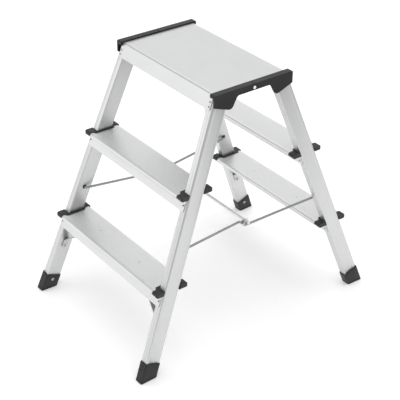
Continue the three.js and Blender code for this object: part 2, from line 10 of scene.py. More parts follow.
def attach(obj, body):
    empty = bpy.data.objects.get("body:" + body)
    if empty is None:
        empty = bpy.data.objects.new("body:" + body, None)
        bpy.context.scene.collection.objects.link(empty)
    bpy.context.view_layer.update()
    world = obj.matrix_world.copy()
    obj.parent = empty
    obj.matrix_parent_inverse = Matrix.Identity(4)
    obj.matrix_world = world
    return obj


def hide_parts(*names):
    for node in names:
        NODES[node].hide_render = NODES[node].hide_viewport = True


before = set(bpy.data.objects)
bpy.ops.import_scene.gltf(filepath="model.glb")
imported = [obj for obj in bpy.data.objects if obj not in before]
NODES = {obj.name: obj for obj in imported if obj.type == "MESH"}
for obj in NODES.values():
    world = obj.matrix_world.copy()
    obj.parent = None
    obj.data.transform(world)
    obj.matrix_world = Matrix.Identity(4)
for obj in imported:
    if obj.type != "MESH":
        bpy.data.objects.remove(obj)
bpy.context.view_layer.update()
MM = 0.001

# ------------------------------------------------------------------ the frame's own dimensions
H = 690.0
STEPS = {"lower": 230.0, "upper": 460.0}
KX, KY = 0.087, 0.387
XO_TOP, YF_TOP = 192.8, 108.05
SW, SD = 22.3, 42.4
STILE_TOP, STILE_BOTTOM = 684.6, 5.0
GAP = 0.3
PLATE = 2.0
NOSE, TAIL, NOSE_H, FLANGE_H = 22.0, 21.5, 12.0, 39.5
END_INSET = 6.4
PLAT_X, PLAT_EAR, PLAT_LOW = 184.5, 189.0, 654.0
PLAT_RIVETS = (("high", 671.5), ("low", 660.5))
PIN_Z = 684.0
FOOT_WALL, FOOT_TOP, FOOT_RIVET_Z = 1.8, 46.4, 28.5
ROD_R, ROD_Z, ROD_X = 3.3, 300.0, 198.2
BAR_X, BAR_Z, BAR_R, LUG_X = 199.5, 303.0, 4.0, 182.2
LEFT_IN = 28.0
BRACE_Z, BRACE_X, BRACE_T = 130.5, 90.0, 2.0


def XO(z):
    return XO_TOP + KX * (H - z)


def YF(z):
    return -(YF_TOP + KY * (H - z))


UP = Vector((-KX, KY, 1)).normalized()
OUT = Vector((0, -1, KY)).normalized()
SIDE = UP.cross(OUT).normalized()
FACE_Y = math.hypot(1, KY)
P0 = Vector((XO(0) - SW / 2 / SIDE.x, YF(0) + (SD / 2) * FACE_Y, 0))


def YB(z):
    return YF(z) + SD * FACE_Y


def axis_at(z):
    return P0 + UP * (z / UP.z)


def at(u, v, w):
    return P0 + SIDE * u - OUT * v + UP * w


def at_z(u, v, z):
    w = (z - P0.z - u * SIDE.z + v * OUT.z) / UP.z
    return at(u, v, w)


def on_face(face, z, off=0.0):
    d = OUT if face == "out" else -OUT if face == "back" else -SIDE
    half = (SW if face == "in" else SD) / 2
    return axis_at(z) - UP * (half * d.z / UP.z) + d * (half + off)


def step_end(zt):
    return XO(zt - 26) - END_INSET


# ------------------------------------------------------------------ 2-D helpers
def fillet(points, radii, n=6, closed=False):
    out = []
    m = len(points)
    for i, p in enumerate(points):
        r = radii[i]
        if r <= 0 or (not closed and i in (0, m - 1)):
            out.append(tuple(p))
            continue
        a, b = Vector(points[i - 1]), Vector(points[(i + 1) % m])
        p = Vector(p)
        da, db = (a - p).normalized(), (b - p).normalized()
        ang = da.angle(db)
        if ang > math.pi - 1e-3:
            out.append(tuple(p))
            continue
        t = min(r / math.tan(ang / 2), 0.49 * (a - p).length, 0.49 * (b - p).length)
        rr = t * math.tan(ang / 2)
        c = p + (da + db).normalized() * (rr / math.sin(ang / 2))
        v0, v1 = (p + da * t) - c, (p + db * t) - c
        turn = math.atan2(v0.x * v1.y - v0.y * v1.x, v0.dot(v1))
        for k in range(n + 1):
            s, q = math.sin(turn * k / n), math.cos(turn * k / n)
            out.append((c.x + v0.x * q - v0.y * s, c.y + v0.x * s + v0.y * q))
    return out


def offset_line(line, d):
    out = []
    for i, p in enumerate(line):
        p = Vector(p)
        d0 = (p - Vector(line[i - 1])).normalized() if i else None
        d1 = (Vector(line[i + 1]) - p).normalized() if i < len(line) - 1 else None
        a, b = d0 or d1, d1 or d0
        n0, n1 = Vector((-a.y, a.x)), Vector((-b.y, b.x))
        m = (n0 + n1).normalized()
        out.append(tuple(p + m * (d / m.dot(n0))))
    return out


def grooves(line, spots):
    """Adds shallow grooves to an open polyline: spots are (segment test, distance along it, width, depth)."""
    out = [line[0]]
    for a, b in zip(line, line[1:]):
        A, B = Vector(a), Vector(b)
        seg = (B - A).length
        if seg > 1e-6:
            d = (B - A) / seg
            nrm = Vector((-d.y, d.x))
            for test, s, w, depth in sorted((q for q in spots if q[0](A, B)), key=lambda q: q[1]):
                if s - w / 2 < 0.05 or s + w / 2 > seg - 0.05:
                    continue
                e = min(depth, w * 0.3)
                for t, k in ((s - w / 2, 0), (s - w / 2 + e, 1), (s + w / 2 - e, 1), (s + w / 2, 0)):
                    out.append(tuple(A + d * t + nrm * depth * k))
        out.append(b)
    return out


def round_rect(w, d, r, n=5):
    pts = []
    for cx, cy, a0 in ((w / 2 - r, d / 2 - r, 0), (-w / 2 + r, d / 2 - r, 90), (-w / 2 + r, -d / 2 + r, 180), (w / 2 - r, -d / 2 + r, 270)):
        for i in range(n + 1):
            a = math.radians(a0 + 90 * i / n)
            pts.append((cx + r * math.cos(a), cy + r * math.sin(a)))
    return pts


# ------------------------------------------------------------------ mesh helpers
def make_object(name, verts, faces, mats, angle=32.0, weld=1e-4, face_mats=None):
    me = bpy.data.meshes.new(name)
    bm = bmesh.new()
    vs = [bm.verts.new(Vector(v) * MM) for v in verts]
    for i, f in enumerate(faces):
        try:
            face = bm.faces.new([vs[k] for k in f])
            if face_mats:
                face.material_index = face_mats[i]
        except ValueError:
            pass
    bmesh.ops.remove_doubles(bm, verts=bm.verts, dist=weld * MM * 10)
    bmesh.ops.recalc_face_normals(bm, faces=bm.faces)
    bm.to_mesh(me)
    bm.free()
    for m in mats:
        me.materials.append(m)
    ob = bpy.data.objects.new(name, me)
    bpy.context.scene.collection.objects.link(ob)
    smooth(ob, angle)
    return ob


def smooth(ob, angle=32.0):
    me = ob.data
    me.polygons.foreach_set("use_smooth", [True] * len(me.polygons))
    me.set_sharp_from_angle(angle=math.radians(angle))
    me.update()


def mirrored(ob, name, sx, sy):
    """A copy mirrored across x = 0 and/or y = 0, faces kept outward."""
    me = ob.data.copy()
    me.name = name
    me.transform(Matrix.Diagonal((sx, sy, 1, 1)))
    if sx * sy < 0:
        me.flip_normals()
    out = bpy.data.objects.new(name, me)
    bpy.context.scene.collection.objects.link(out)
    return out


def extrude_x(name, outline, x0, x1, mats, **kw):
    n = len(outline)
    verts = [(x0, y, z) for y, z in outline] + [(x1, y, z) for y, z in outline]
    faces = [(i, (i + 1) % n, n + (i + 1) % n, n + i) for i in range(n)]
    faces += [tuple(range(n - 1, -1, -1)), tuple(range(n, 2 * n))]
    return make_object(name, verts, faces, mats, **kw)


def loft(name, rings, mats, cap=True, **kw):
    n = len(rings[0])
    verts = [p for r in rings for p in r]
    faces = []
    for k in range(len(rings) - 1):
        for i in range(n):
            j = (i + 1) % n
            faces.append((k * n + i, k * n + j, (k + 1) * n + j, (k + 1) * n + i))
    if cap:
        faces.append(tuple(range(n - 1, -1, -1)))
        faces.append(tuple((len(rings) - 1) * n + i for i in range(n)))
    return make_object(name, verts, faces, mats, **kw)


def lathe(name, prof, origin, axis, mats, n=28, face_mat=None, **kw):
    """prof: (radius, height) from the top centre to the bottom centre."""
    axis = Vector(axis).normalized()
    a = axis.orthogonal().normalized()
    b = axis.cross(a)
    origin = Vector(origin)
    verts, faces, fm = [], [], []
    idx = []
    for r, h in prof:
        if r < 1e-6:
            idx.append([len(verts)])
            verts.append(origin + axis * h)
        else:
            idx.append(list(range(len(verts), len(verts) + n)))
            for k in range(n):
                t = 2 * math.pi * k / n
                verts.append(origin + axis * h + a * (r * math.cos(t)) + b * (r * math.sin(t)))
    for k in range(len(prof) - 1):
        p, q = idx[k], idx[k + 1]
        for i in range(n):
            j = (i + 1) % n
            if len(p) == 1:
                f = (p[0], q[i], q[j])
            elif len(q) == 1:
                f = (p[i], q[0], p[j])
            else:
                f = (p[i], q[i], q[j], p[j])
            faces.append(f)
            fm.append(face_mat[k] if face_mat else 0)
    return make_object(name, verts, faces, mats, face_mats=fm, **kw)


def tube(name, path, r, mats, n=20, **kw):
    pts = []
    for p in path:
        p = Vector(p)
        if not pts or (p - pts[-1]).length > 1e-3:
            pts.append(p)
    tans = []
    for i in range(len(pts)):
        a = (pts[i] - pts[i - 1]).normalized() if i else None
        b = (pts[i + 1] - pts[i]).normalized() if i < len(pts) - 1 else None
        tans.append(((a or b) + (b or a)).normalized())
    nrm = tans[0].orthogonal().normalized()
    rings = []

    def ring(c, t, rad):
        b = t.cross(nrm)
        return [c + nrm * (rad * math.cos(2 * math.pi * k / n)) + b * (rad * math.sin(2 * math.pi * k / n)) for k in range(n)]

    for i, (c, t) in enumerate(zip(pts, tans)):
        nrm = (nrm - t * nrm.dot(t)).normalized()
        if i == 0:
            rings.append(ring(c, t, r * 0.72))
            rings.append(ring(c + t * 0.5, t, r))
        elif i == len(pts) - 1:
            rings.append(ring(c - t * 0.5, t, r))
            rings.append(ring(c, t, r * 0.72))
        else:
            rings.append(ring(c, t, r))
    return loft(name, rings, mats, **kw)


def bent(points, bend, n=10):
    pts = [Vector(p) for p in points]
    out = []
    prev = pts[0]
    for i in range(1, len(pts) - 1):
        a = (pts[i] - prev).normalized()
        b = (pts[i + 1] - pts[i]).normalized()
        e0, e1 = pts[i] - a * bend, pts[i] + b * bend
        out.append(prev)
        for k in range(n + 1):
            t = k / n
            out.append(e0 * (1 - t) ** 2 + pts[i] * (2 * t * (1 - t)) + e1 * t ** 2)
        prev = e1
    out.append(pts[-1])
    return out


def apply_modifiers(ob):
    dg = bpy.context.evaluated_depsgraph_get()
    me = bpy.data.meshes.new_from_object(ob.evaluated_get(dg), depsgraph=dg)
    old = ob.data
    ob.modifiers.clear()
    ob.data = me
    bpy.data.meshes.remove(old)
    return ob


def cut(ob, *cutters, operation="DIFFERENCE"):
    for c in cutters:
        m = ob.modifiers.new("cut", "BOOLEAN")
        m.operation = operation
        m.solver = "EXACT"
        m.object = c
        bpy.context.view_layer.update()
        apply_modifiers(ob)
        bpy.data.objects.remove(c)
    return ob


def box_obj(name, x0, x1, y0, y1, z0, z1):
    c = [(x0, y0, z0), (x1, y0, z0), (x1, y1, z0), (x0, y1, z0), (x0, y0, z1), (x1, y0, z1), (x1, y1, z1), (x0, y1, z1)]
    f = [(0, 3, 2, 1), (4, 5, 6, 7), (0, 1, 5, 4), (1, 2, 6, 5), (2, 3, 7, 6), (3, 0, 4, 7)]
    return make_object(name, c, f, [])


# ------------------------------------------------------------------ materials
class Mat:
    def __init__(self, name):
        self.m = bpy.data.materials.new(name)
        self.m.use_nodes = True
        self.t = self.m.node_tree
        self.b = self.t.nodes["Principled BSDF"]

    def node(self, kind, **kw):
        n = self.t.nodes.new(kind)
        for k, v in kw.items():
            setattr(n, k, v)
        return n

    def link(self, a, b):
        self.t.links.new(a, b)

    def coords(self, scale=(1, 1, 1), rot=None):
        tc = self.node("ShaderNodeTexCoord")
        src = tc.outputs["Object"]
        if rot is not None:
            r = self.node("ShaderNodeMapping")
            r.inputs["Rotation"].default_value = rot
            self.link(src, r.inputs["Vector"])
            src = r.outputs["Vector"]
        mp = self.node("ShaderNodeMapping")
        mp.inputs["Scale"].default_value = scale
        self.link(src, mp.inputs["Vector"])
        return mp.outputs["Vector"]

    def noise(self, vec, scale, detail=3.0, rough=0.55):
        n = self.node("ShaderNodeTexNoise")
        n.inputs["Scale"].default_value = scale
        n.inputs["Detail"].default_value = detail
        n.inputs["Roughness"].default_value = rough
        self.link(vec, n.inputs["Vector"])
        return n.outputs["Fac"]

    def ramp(self, fac, stops):
        r = self.node("ShaderNodeValToRGB")
        e = r.color_ramp.elements
        while len(e) < len(stops):
            e.new(0.5)
        for el, (p, c) in zip(e, stops):
            el.position = p
            el.color = (c, c, c, 1) if isinstance(c, (int, float)) else (*c, 1)
        self.link(fac, r.inputs["Fac"])
        return r.outputs["Color"]

    def remap(self, fac, lo, hi, a=0.3, b=0.7):
        r = self.node("ShaderNodeMapRange")
        r.inputs["From Min"].default_value = a
        r.inputs["From Max"].default_value = b
        r.inputs["To Min"].default_value = lo
        r.inputs["To Max"].default_value = hi
        self.link(fac, r.inputs["Value"])
        return r.outputs["Result"]

    def mixf(self, a, b, fac=0.5):
        m = self.node("ShaderNodeMix", data_type="FLOAT")
        m.inputs[0].default_value = fac
        self.link(a, m.inputs[2])
        self.link(b, m.inputs[3])
        return m.outputs[0]

    def math(self, op, a, b):
        m = self.node("ShaderNodeMath", operation=op)
        for i, v in enumerate((a, b)):
            if isinstance(v, (int, float)):
                m.inputs[i].default_value = v
            else:
                self.link(v, m.inputs[i])
        return m.outputs[0]

    def bump(self, height, strength, distance, prev=None):
        b = self.node("ShaderNodeBump")
        b.inputs["Strength"].default_value = strength
        b.inputs["Distance"].default_value = distance
        self.link(height, b.inputs["Height"])
        if prev is not None:
            self.link(prev, b.inputs["Normal"])
        return b.outputs["Normal"]

    def edge(self, prev=None):
        """Raw pointiness: about 0.5 on flat faces, higher along convex edges, lower in hollows."""
        g = self.node("ShaderNodeNewGeometry")
        return g.outputs["Pointiness"]


def aluminium(name, tint, lo, hi, rot=None, metallic=0.82, streak=(5, 900, 900), line_bump=0.10):
    """Satin anodised extrusion: long drawing lines, fine grain, faint handling variation."""
    k = Mat(name)
    vec = k.coords(streak, rot)
    lines = k.noise(vec, 1.0, 4.0, 0.6)
    grain = k.noise(k.coords((1, 1, 1)), 1400.0, 2.0, 0.6)
    cloud = k.noise(k.coords((1, 1, 1)), 9.0, 3.0, 0.5)
    both = k.mixf(lines, cloud, 0.4)
    col = k.ramp(both, [(0.30, tuple(c * 0.945 for c in tint)), (0.52, tint), (0.74, tuple(min(1.0, c * 1.03) for c in tint))])
    k.link(col, k.b.inputs["Base Color"])
    k.link(k.remap(k.mixf(lines, grain, 0.35), lo, hi), k.b.inputs["Roughness"])
    k.b.inputs["Metallic"].default_value = metallic
    n1 = k.bump(lines, line_bump, 0.00012)
    n2 = k.bump(grain, 0.06, 0.00006, n1)
    k.link(n2, k.b.inputs["Normal"])
    return k.m


def plastic(name, base, lo, hi, grain_scale=1500.0, streak=None, bump=0.25):
    """Moulded black plastic: fine spark-eroded grain, paler worn corners."""
    k = Mat(name)
    k.b.inputs["Specular IOR Level"].default_value = 0.34
    vec = k.coords((1, 1, 1))
    grain = k.noise(vec, grain_scale, 2.0, 0.65)
    cloud = k.noise(vec, 22.0, 3.0, 0.5)
    wear = k.ramp(k.edge(), [(0.0, 0.0), (0.515, 0.0), (0.60, 1.0)])
    body = k.ramp(k.mixf(cloud, grain, 0.35), [(0.25, tuple(c * 0.8 for c in base)), (0.75, tuple(c * 1.25 for c in base))])
    mix = k.node("ShaderNodeMix", data_type="RGBA")
    k.link(k.math("MULTIPLY", wear, 0.35), mix.inputs[0])
    k.link(body, mix.inputs[6])
    mix.inputs[7].default_value = (*(min(1, c * 3.2 + 0.02) for c in base), 1)
    k.link(mix.outputs[2], k.b.inputs["Base Color"])
    k.link(k.remap(k.mixf(cloud, grain, 0.5), lo, hi), k.b.inputs["Roughness"])
    h = grain
    if streak:
        h = k.mixf(grain, k.noise(k.coords(streak), 1.0, 2.0, 0.5), 0.6)
    k.link(k.bump(h, bump, 0.00015), k.b.inputs["Normal"])
    return k.m


def steel(name, tint, lo, hi, metallic=1.0, scale=260.0):
    """Zinc-plated or bright steel: mottled plating, fine drawing marks."""
    k = Mat(name)
    vec = k.coords((1, 1, 1))
    mottle = k.noise(vec, scale, 4.0, 0.6)
    fine = k.noise(vec, 2200.0, 2.0, 0.5)
    col = k.ramp(mottle, [(0.28, tuple(c * 0.86 for c in tint)), (0.55, tint), (0.78, tuple(min(1, c * 1.08) for c in tint))])
    k.link(col, k.b.inputs["Base Color"])
    k.link(k.remap(k.mixf(mottle, fine, 0.4), lo, hi), k.b.inputs["Roughness"])
    k.b.inputs["Metallic"].default_value = metallic
    k.link(k.bump(k.mixf(mottle, fine, 0.6), 0.12, 0.00008), k.b.inputs["Normal"])
    return k.m


def along(up):
    """Euler that turns a direction onto the texture's X axis."""
    return up.rotation_difference(Vector((1, 0, 0))).to_euler()


ALU_T = (0.700, 0.703, 0.707)
# Treads are the same aluminium as the deck but get a lighter tint (0.785 against 0.700): painted light that offsets the
# shade they sit in under the platform and stiles.
M_TREAD_PAINTED_LIGHT = aluminium("tread_aluminium_satin_painted_lighter", (0.785, 0.788, 0.792), 0.36, 0.47)
M_DECK = aluminium("deck_aluminium_satin", ALU_T, 0.36, 0.47)
M_STILE = {}
for _f, _sy in (("front", 1), ("rear", -1)):
    for _s, _sx in (("right", 1), ("left", -1)):
        _d = Vector((UP.x * _sx, UP.y * _sy, UP.z))
        M_STILE[_f, _s] = aluminium(f"stile_aluminium_{_f}_{_s}", (0.700, 0.703, 0.709), 0.34, 0.46, rot=along(_d))
M_STRAP = aluminium("strap_aluminium", (0.62, 0.625, 0.63), 0.40, 0.52, streak=(40, 40, 40), line_bump=0.05)
M_BLACK = plastic("black_plastic_moulded", (0.022, 0.022, 0.023), 0.42, 0.58)
M_HINGE = plastic("black_plastic_hinge", (0.010, 0.010, 0.0105), 0.46, 0.60, streak=(900, 14, 900), bump=0.30)
M_FOOT = plastic("black_rubber_foot", (0.018, 0.018, 0.019), 0.38, 0.55)
M_RIVET = steel("rivet_metal_bright", (0.74, 0.745, 0.75), 0.34, 0.46, metallic=0.85)
# Near-black colour for the rivet's shallow centre bore: painted shade standing in for the dark inside the hollow bore,
# not a darker metal.
M_RIVET_BORE_SHADE = steel("rivet_bore_painted_shade", (0.06, 0.06, 0.062), 0.5, 0.65, metallic=0.5)
M_WIRE = steel("plated_wire", (0.44, 0.44, 0.455), 0.26, 0.42)
M_BAR = steel("bar_steel_bright", (0.80, 0.80, 0.81), 0.26, 0.40)
M_PIN = steel("pin_steel", (0.82, 0.82, 0.83), 0.18, 0.30)

# ------------------------------------------------------------------ treads and platform
RIB_PITCH = 4.0


def tread_outline(zt):
    yo = YF(zt) - NOSE + PLATE / 2
    yi = YB(zt) + TAIL - PLATE / 2
    off = (GAP + PLATE / 2) * FACE_Y
    zc, zb, zl = zt - PLATE / 2, zt - NOSE_H, zt - FLANGE_H
    line = [(YF(zl) - off, zl), (YF(zb) - off, zb), (yo, zb), (yo, zc), (yi, zc), (yi, zb), (YB(zb) + off, zb), (YB(zl) + off, zl)]
    line = fillet(line, [0, 1.6, 3.4, 4.4, 4.4, 3.4, 1.6, 0], 7)
    outer, inner = offset_line(line, PLATE / 2), offset_line(line, -PLATE / 2)
    if max(p[1] for p in outer) < max(p[1] for p in inner):
        outer, inner = inner, outer
    top = lambda a, b: abs(a.y - b.y) < 1e-4 and abs(a.y - zt) < 1e-3 and abs(a.x - b.x) > 20
    seg = next((Vector(a), Vector(b)) for a, b in zip(outer, outer[1:]) if top(Vector(a), Vector(b)))
    length = abs(seg[0].x - seg[1].x)
    n = int((length - 6) / RIB_PITCH)
    s0 = (length - (n - 1) * RIB_PITCH) / 2
    spots = [(top, s0 + k * RIB_PITCH, 1.6, -0.50) for k in range(n)]
    # one fine line along each rolled edge
    nose = lambda a, b: abs(a.x - b.x) < 1e-4 and abs(a.y - b.y) > 2.0 and a.y > zb and b.y > zb
    spots += [(nose, 2.2, 1.0, -0.45)]
    spots = [(t, s, w, d) for t, s, w, d in spots]
    outer = signed_grooves(outer, spots, (0.0, zt - 6))
    loop = outer + inner[::-1]
    return loop


def signed_grooves(line, spots, inside):
    """Grooves are cut towards the point `inside`, whichever way the line runs."""
    res = [line[0]]
    for a, b in zip(line, line[1:]):
        A, B = Vector(a), Vector(b)
        seg = (B - A).length
        if seg > 1e-6:
            d = (B - A) / seg
            nrm = Vector((-d.y, d.x))
            ref = Vector(inside) if abs(d.x) > abs(d.y) else Vector((0, (A.y + B.y) / 2))
            centre = Vector(((A.x + B.x) / 2, (A.y + B.y) / 2))
            if abs(d.x) <= abs(d.y):
                ref = Vector((inside[0] if inside[0] else sum(p[0] for p in line) / len(line), centre.y))
            if nrm.dot(ref - centre) < 0:
                nrm = -nrm
            for test, s, w, depth in sorted((q for q in spots if q[0](A, B)), key=lambda q: q[1]):
                depth = abs(depth)
                if s - w / 2 < 0.05 or s + w / 2 > seg - 0.05:
                    continue
                e = min(depth * 1.1, w * 0.35)
                for t, k in ((s - w / 2, 0), (s - w / 2 + e, 1), (s + w / 2 - e, 1), (s + w / 2, 0)):
                    res.append(tuple(A + d * t + nrm * depth * k))
        res.append(b)
    return res


def notch_cutter(zt, sx):
    """The block of space the stile takes out of a tread end."""
    u0, u1 = -SW / 2 - 0.45, 60.0
    v0, v1 = -SD / 2 - GAP + 0.02, SD / 2 + GAP - 0.02
    rings = []
    for z in (zt - 24, zt + 12):
        r = [at_z(u, v, z) for u, v in ((u0, v0), (u1, v0), (u1, v1), (u0, v1))]
        rings.append([Vector((p.x * sx, p.y, p.z)) for p in r])
    return loft(f"cut_notch_{sx}", rings, [])


def brace_strap_hole(x, y, z0, z1, r):
    return loft("cut_hole", [[(x + r * math.cos(a * math.pi / 8), y + r * math.sin(a * math.pi / 8), z) for a in range(16)] for z in (z0, z1)], [])


def rivet_head(name, p, axis, R, h, shank=2.0):
    # The bore's floor and wall (face_mat 1) carry the painted shade; dome rim and shank are bright rivet metal.
    prof = [(0, h * 0.18), (R * 0.46, h * 0.18), (R * 0.50, h * 0.72), (R * 0.58, h * 0.80), (R * 0.76, h * 0.70), (R * 0.92, h * 0.42), (R, h * 0.12), (R * 0.985, 0.0), (R * 0.5, -0.05), (R * 0.5, -shank), (0, -shank)]
    return lathe(name, prof, p, axis, [M_RIVET, M_RIVET_BORE_SHADE], n=24, face_mat=[1, 1, 0, 0, 0, 0, 0, 0, 0, 0])


TREADS = {}
for level, zt in STEPS.items():
    xe = step_end(zt)
    ob = extrude_x(f"front_tread_{level}", tread_outline(zt), -xe, xe, [M_TREAD_PAINTED_LIGHT])
    cut(ob, notch_cutter(zt, 1), notch_cutter(zt, -1))
    smooth(ob, 34)
    TREADS[level] = ob

for level, zt in STEPS.items():
    ob = TREADS[level]
    other = mirrored(ob, f"rear_tread_{level}", 1, -1)
    for o, f in ((ob, "front"), (other, "rear")):
        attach(o, f"{f}_frame")
        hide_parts(f"{f}_step_{level}")


def platform_outline():
    off = (GAP + PLATE / 2) * FACE_Y
    zc = H - PLATE / 2
    yt = -(YF(zc) - off)
    yl = -YF(PLAT_LOW) + off
    line = [(-yl, PLAT_LOW), (-yt, zc), (yt, zc), (yl, PLAT_LOW)]
    line = fillet(line, [0, 3.6, 3.6, 0], 7)
    outer, inner = offset_line(line, PLATE / 2), offset_line(line, -PLATE / 2)
    if max(p[1] for p in outer) < max(p[1] for p in inner):
        outer, inner = inner, outer
    top = lambda a, b: abs(a.y - b.y) < 1e-4 and abs(a.y - H) < 1e-3 and abs(a.x - b.x) > 20
    seg = next((Vector(a), Vector(b)) for a, b in zip(outer, outer[1:]) if top(Vector(a), Vector(b)))
    length = abs(seg[0].x - seg[1].x)
    n = int((length - 5) / RIB_PITCH)
    s0 = (length - (n - 1) * RIB_PITCH) / 2
    spots = [(top, s0 + k * RIB_PITCH, 1.5, 0.38) for k in range(n)]
    outer = signed_grooves(outer, spots, (0.0, H - 20))
    # webs hang from the underside
    res = []
    inner = sorted_line(inner)
    for a, b in zip(inner, inner[1:]):
        res.append(a)
        if abs(a[1] - b[1]) < 1e-4 and abs(a[1] - (H - PLATE)) < 1e-3 and abs(b[0] - a[0]) > 50:
            for y in (-52.0, 0.0, 52.0):
                res += [(y - 1.6, H - PLATE), (y - 1, H - PLATE - 0.8), (y - 1, 672.0), (y + 1, 672.0), (y + 1, H - PLATE - 0.8), (y + 1.6, H - PLATE)]
    res.append(inner[-1])
    outer = sorted_line(outer)
    return outer + res[::-1]


def sorted_line(line):
    return line if line[0][0] < line[-1][0] else line[::-1]


plat = extrude_x("platform_deck", platform_outline(), -PLAT_X, PLAT_X, [M_DECK])
# front fascia runs on over the stiles below the hinge flanges
off = (GAP + PLATE / 2) * FACE_Y
fl = [(YF(PLAT_LOW) - off, PLAT_LOW), (YF(681) - off, 681)]
fo = offset_line(fl, PLATE / 2) + offset_line(fl, -PLATE / 2)[::-1]
for s in (1, -1):
    ear = extrude_x("ear", fo, min(s * (PLAT_X - 2), s * PLAT_EAR), max(s * (PLAT_X - 2), s * PLAT_EAR), [])
    cut(plat, ear, operation="UNION")
smooth(plat, 34)
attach(plat, "front_frame")
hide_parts("platform")


# ------------------------------------------------------------------ stiles
def s_curve(u0, v0, u1, v1, n=8):
    pts = []
    for k in range(n + 1):
        t = k / n
        e = t * t * (3 - 2 * t)
        pts.append((u0 + (u1 - u0) * e, v0 + (v1 - v0) * t))
    return pts


def stile_outline():
    w, d = SW / 2, SD / 2

    def corner(cx, cy, r, a0, n=7):
        return [(cx + r * math.cos(math.radians(a0 + 90 * i / n)), cy + r * math.sin(math.radians(a0 + 90 * i / n))) for i in range(n + 1)]

    pts = []
    pts += corner(w - 2.8 - 0.15, d - 2.8, 2.8, 0)
    pts += corner(-w + 2.4, d - 2.4, 2.4, 90)
    pts += corner(-w + 2.4, -d + 2.4, 2.4, 180)
    pts += [(0.9, -d), (1.15, -d + 0.45), (1.75, -d + 0.45), (2.0, -d)]
    pts += corner(w - 4.2, -d + 4.2, 4.2, 270)
    pts += s_curve(w, -d + 5.6, w - 1.35, -d + 14.0, 9)
    pts += s_curve(w - 1.35, d - 8.2, w - 0.15, d - 4.2, 6)
    out = []
    for p in pts:
        if not out or (Vector(p) - Vector(out[-1])).length > 1e-4:
            out.append(p)
    return out


STILE_LOOP = stile_outline()
STILE_HOLLOW = [(u * 8.75 / 11.15, v * 19.7 / 21.2) for u, v in STILE_LOOP]


def stile(frame_name, side, sx, sy):
    z0, z1 = STILE_BOTTOM, STILE_TOP
    rings = [
        [at_z(u, v, z0) for u, v in STILE_HOLLOW],
        [at_z(u * 0.985, v * 0.993, z0) for u, v in STILE_LOOP],
        [at_z(u, v, z0 + 0.3) for u, v in STILE_LOOP],
        [at_z(u, v, z1 - 0.3) for u, v in STILE_LOOP],
        [at_z(u * 0.985, v * 0.993, z1) for u, v in STILE_LOOP],
        [at_z(u, v, z1) for u, v in STILE_HOLLOW],
        [at_z(u, v, z0) for u, v in STILE_HOLLOW],
    ]
    rings = [[Vector((p.x * sx, p.y * sy, p.z)) for p in r] for r in rings]
    ob = loft(f"{frame_name}_extrusion_{side}", rings, [M_STILE[frame_name, side]], cap=False, angle=34)
    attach(ob, f"{frame_name}_frame")
    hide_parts(f"{frame_name}_stile_{side}")
    return ob


# ------------------------------------------------------------------ feet
def foot_loop():
    """Sheath section: ribs down the outward face, round corners."""
    o = FOOT_WALL + GAP
    w, d = SW / 2 + o, SD / 2 + o
    base = round_rect(2 * w, 2 * d, 4.4, 8)
    out = []
    for i, p in enumerate(base):
        q = base[(i + 1) % len(base)]
        out.append(p)
        a, b = Vector(p), Vector(q)
        if abs(p[1] - q[1]) < 1e-6 and p[1] < 0 and (b - a).length > 5:
            n = 24
            for k in range(1, n):
                t = k / n
                pt = a.lerp(b, t)
                dip = 0.5 * (0.5 - 0.5 * math.cos(2 * math.pi * 4 * t))
                out.append((pt.x, pt.y + dip))
        elif abs(p[0] - q[0]) < 1e-6 and (b - a).length > 5:
            for k in range(1, 10):
                pt = a.lerp(b, k / 10)
                out.append((pt.x, pt.y))
    return out


def foot(frame_name, side, sx, sy):
    loop = foot_loop()
    o = FOOT_WALL + GAP
    ku, kv = (SW / 2 + GAP) / (SW / 2 + o), (SD / 2 + GAP) / (SD / 2 + o)
    cav = [(max(-SW / 2 - GAP, min(SW / 2 + GAP, u * ku)), max(-SD / 2 - GAP, min(SD / 2 + GAP, v * kv))) for u, v in loop]

    def ring(points, grow, t):
        out = []
        for u, v in points:
            u2, v2 = u * (1 + grow / (SW / 2)), v * (1 + grow / (SD / 2))
            lo, hi = at_z(u2, v2, 0.0), at(u2, v2, FOOT_TOP)
            out.append(lo.lerp(hi, t))
        return out

    def ring_z(points, z):
        return [at_z(u, v, z) for u, v in points]

    rings = [
        ring(loop, -1.5, 0.0),
        ring(loop, -0.55, 0.012),
        ring(loop, -0.12, 0.035),
        ring(loop, 0.0, 0.07),
        ring(loop, 0.0, 0.16),
        ring(loop, -0.28, 0.175),
        ring(loop, -0.28, 0.195),
        ring(loop, 0.0, 0.21),
        ring(loop, -0.05, 0.90),
        ring(loop, -0.12, 0.965),
        ring(loop, -0.35, 0.99),
        ring(loop, -0.75, 1.0),
        [at(u, v, FOOT_TOP) for u, v in cav],
        ring_z(cav, STILE_BOTTOM - GAP),
    ]
    rings = [[Vector((p.x * sx, p.y * sy, max(p.z, 0.0))) for p in r] for r in rings]
    ob = loft(f"{frame_name}_ferrule_{side}", rings, [M_FOOT], angle=40)
    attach(ob, f"{frame_name}_frame")
    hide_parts(f"{frame_name}_foot_{side}")
    return ob


def flip(p, sx, sy):
    return Vector((p.x * sx, p.y * sy, p.z))


def rivet(name, node, p, d, R, h, sx, sy, body):
    ob = rivet_head(name, flip(p, sx, sy), flip(d, sx, sy), R, h)
    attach(ob, body)
    if node:
        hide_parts(node)
    return ob


SIDES = (("right", 1), ("left", -1))
FRAMES = (("front", 1), ("rear", -1))
PIV = on_face("in", ROD_Z)

